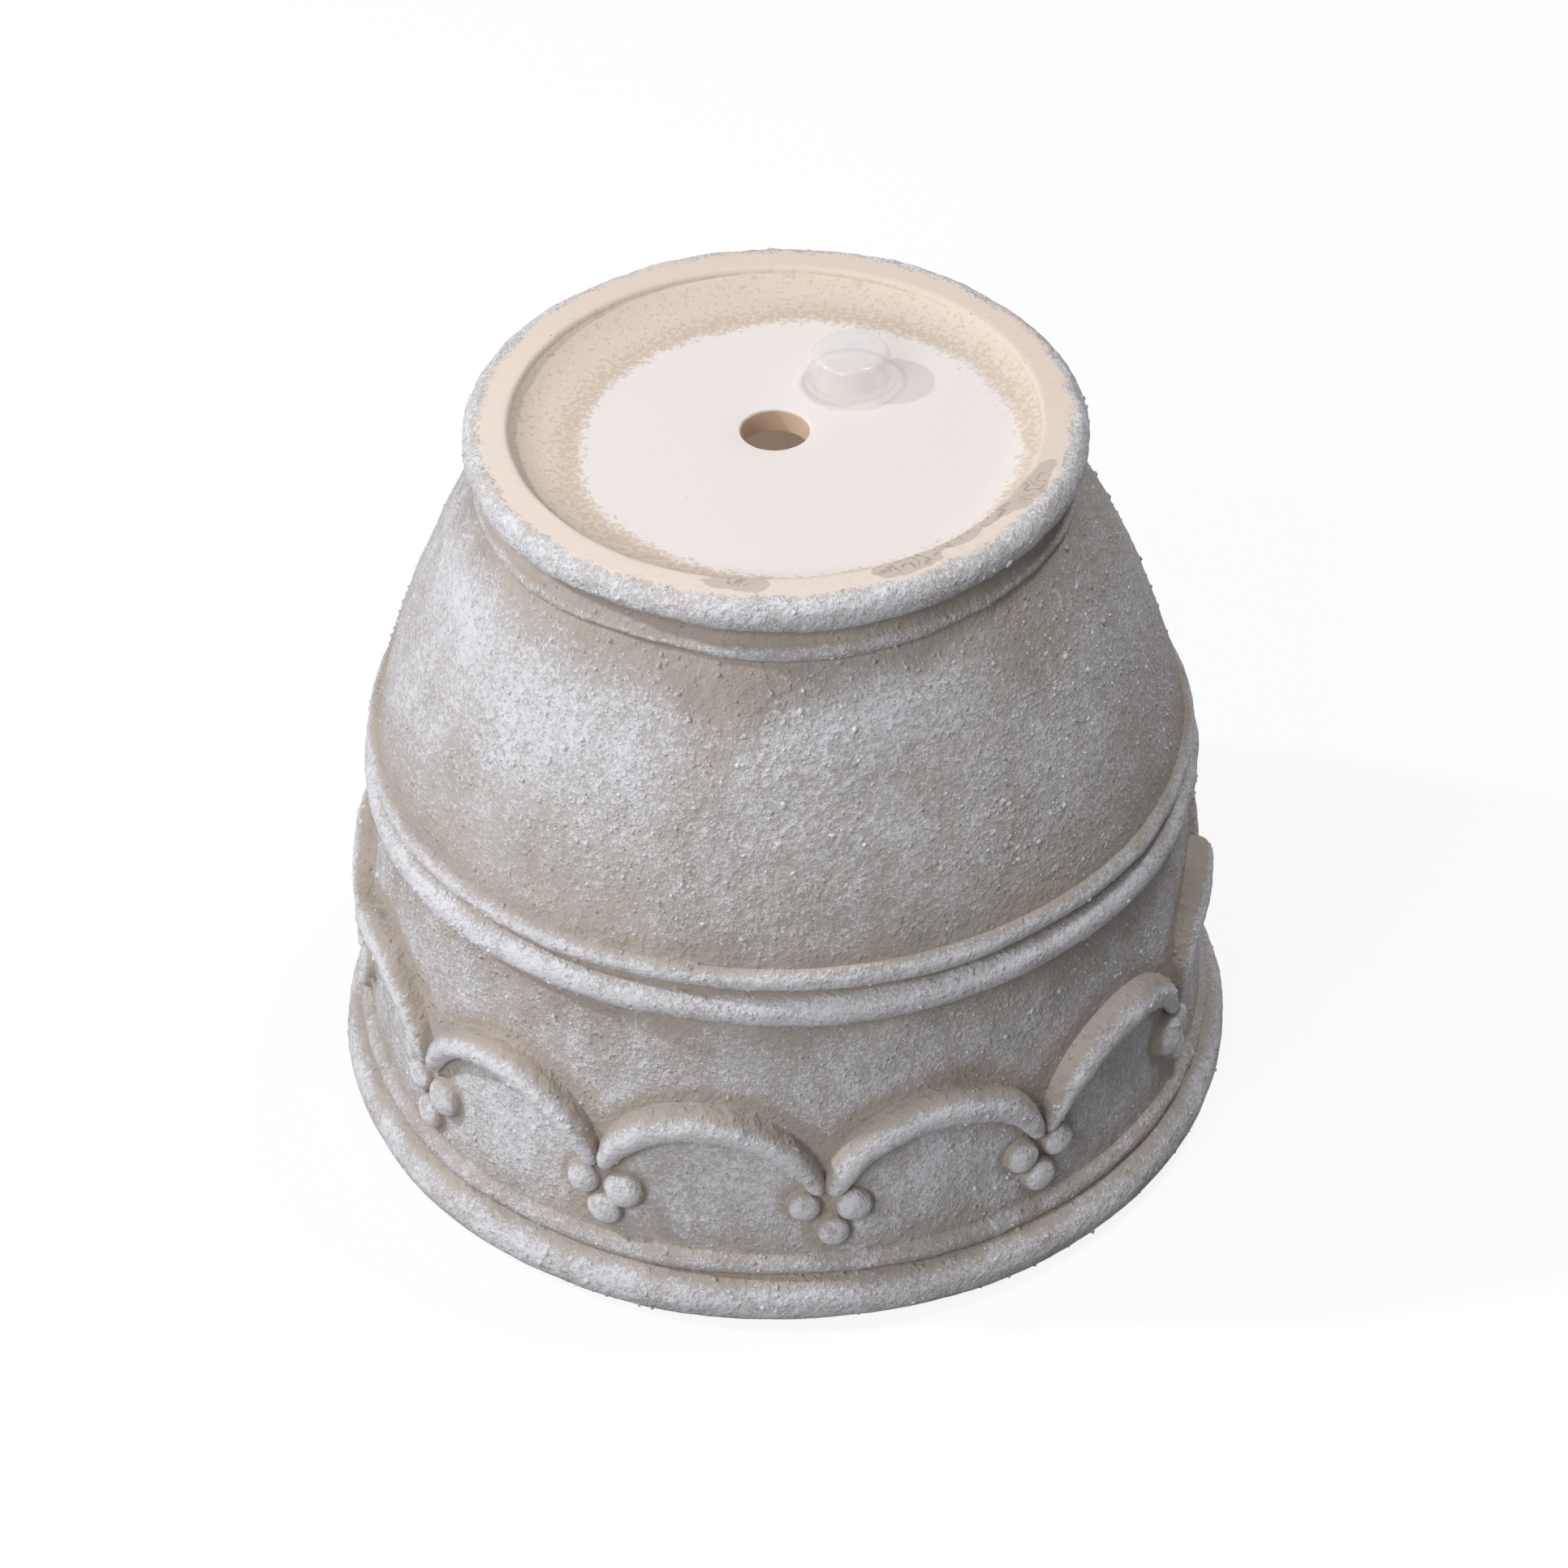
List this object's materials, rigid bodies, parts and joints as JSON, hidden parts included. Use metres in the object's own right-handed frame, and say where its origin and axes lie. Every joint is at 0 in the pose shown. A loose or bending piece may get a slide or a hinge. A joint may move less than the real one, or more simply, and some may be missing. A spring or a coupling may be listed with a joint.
{
  "type": "ceramic planter",
  "caption": "Round ceramic planter turned over on its rolled rim: swelling belly, banded waist, frieze of arches and pellets, recessed base with a drain hole, and a loose soft drain plug.",
  "frame": {"origin": "on the pot's axis, in the plane of the rim on which the turned-over pot stands", "axes": "+Z along the pot's axis from the rim to the foot, so the pot is upside down; +Y away from the viewer of the picture, +X to the viewer's right. For use it is turned half a turn about +X"},
  "size_m": [0.3, 0.3, 0.2602],
  "materials": {
    "coated_ceramic": "gritty taupe coating dry-brushed with white, bare on the foot and the base panel",
    "clear_silicone": "milky translucent moulding with a soft gloss"
  },
  "bodies": {
    "pot": {"pot": "coated_ceramic"},
    "plug": {"drain_plug": "clear_silicone"}
  },
  "joints": [
    {"name": "plug_lift", "type": "slide", "parent": "pot", "child": "plug", "axis": [0, 0, 1], "range_m": [0, 0.06]}
  ]
}
